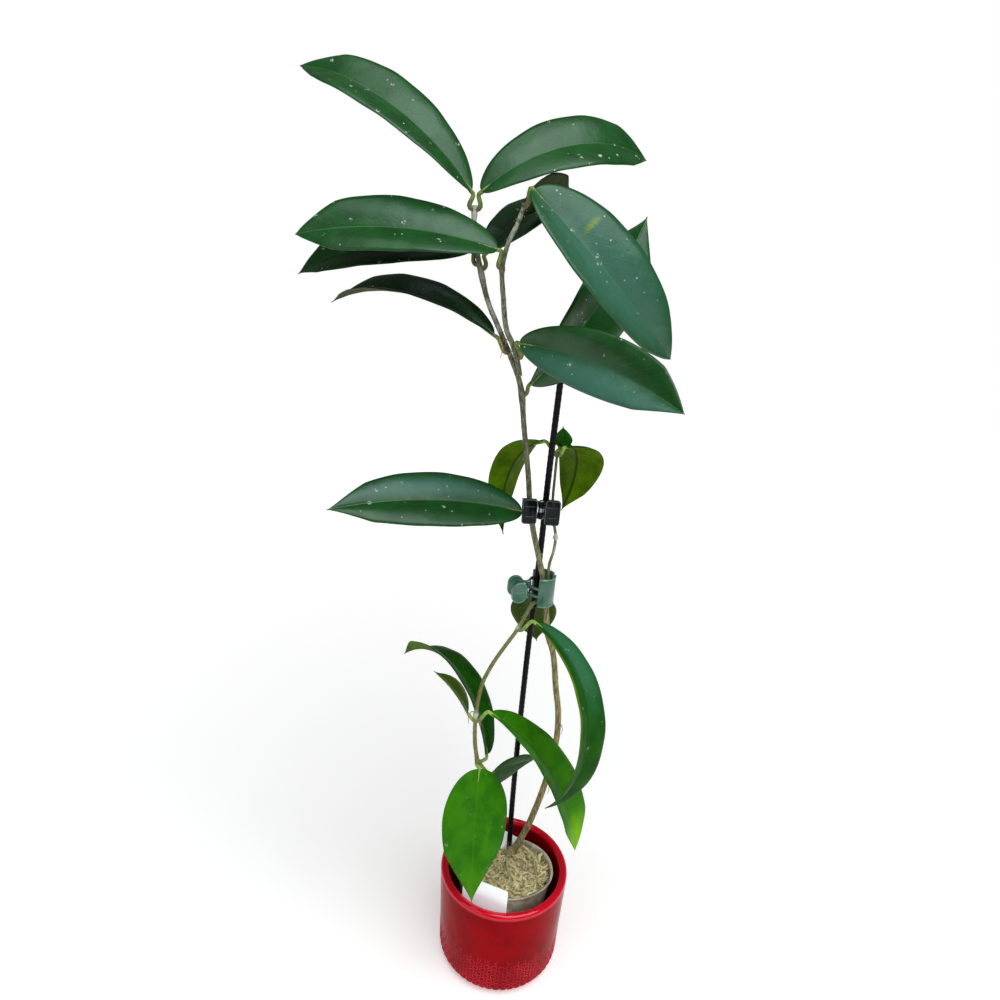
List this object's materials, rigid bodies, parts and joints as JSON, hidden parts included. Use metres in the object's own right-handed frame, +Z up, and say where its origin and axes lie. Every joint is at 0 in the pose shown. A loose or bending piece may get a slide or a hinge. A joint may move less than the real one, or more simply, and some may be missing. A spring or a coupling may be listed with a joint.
{
  "type": "potted climbing plant",
  "caption": "Climbing wax plant with long glossy leaves on clipped, staked stems, growing in moss in a clear nursery pot inside a round red glazed cache pot.",
  "frame": {"origin": "centre of the cache pot's flat base, on the surface that it stands on", "axes": "+Z up along the pot's axis, -Y towards the side that the picture shows, +X to that side's right"},
  "size_m": [0.2831, 0.2256, 0.7701],
  "materials": {
    "red_glaze": "glossy",
    "clear_plastic": "hazy and scratched",
    "moss": "rough",
    "white_tag": "satin",
    "black_stake": "satin",
    "woody_stem": "rough bark",
    "green_stem": "smooth",
    "dark_leaf": "waxy",
    "fresh_leaf": "waxy",
    "black_clip": "glossy",
    "green_clip": "glossy",
    "steel": "bright"
  },
  "bodies": {
    "root": {"cache_pot": "red_glaze", "nursery_pot": "clear_plastic", "moss": "moss", "front_tag": "white_tag", "rear_tag": "white_tag", "stake": "black_stake", "main_stem": "woody_stem", "thin_stem": "green_stem", "hanging_shoot": "green_stem", "black_clip_fixed_jaw": "black_clip", "black_clip_pin": "steel", "black_clip_spring": "steel", "green_clip_fixed_jaw": "green_clip", "green_clip_pin": "steel", "green_clip_spring": "steel", "leaf_01": "dark_leaf", "leaf_02": "dark_leaf", "leaf_03": "dark_leaf", "leaf_04": "dark_leaf", "leaf_05": "dark_leaf", "leaf_06": "dark_leaf", "leaf_07": "dark_leaf", "leaf_08": "dark_leaf", "leaf_09": "dark_leaf", "leaf_10": "dark_leaf", "leaf_11": "dark_leaf", "leaf_12": "fresh_leaf", "leaf_13": "fresh_leaf", "leaf_14": "fresh_leaf", "leaf_15": "fresh_leaf", "leaf_16": "fresh_leaf", "leaf_17": "fresh_leaf", "leaf_18": "fresh_leaf", "leaf_19": "fresh_leaf", "leaf_20": "fresh_leaf", "leaf_21": "fresh_leaf"},
    "black_clip_jaw": {"black_clip_moving_jaw": "black_clip"},
    "green_clip_jaw": {"green_clip_moving_jaw": "green_clip"}
  },
  "joints": [
    {"name": "black_clip_hinge", "type": "hinge", "parent": "root", "child": "black_clip_jaw", "pos_m": [0.0028, 0.0123, 0.4575], "axis": [0, 0, -1], "range_deg": [0, 30], "stiffness_Nm_per_rad": 0.02, "springref_deg": -17.19},
    {"name": "green_clip_hinge", "type": "hinge", "parent": "root", "child": "green_clip_jaw", "pos_m": [-0.001, 0.0236, 0.381], "axis": [0, 0, -1], "range_deg": [0, 30], "stiffness_Nm_per_rad": 0.02, "springref_deg": -17.19}
  ]
}
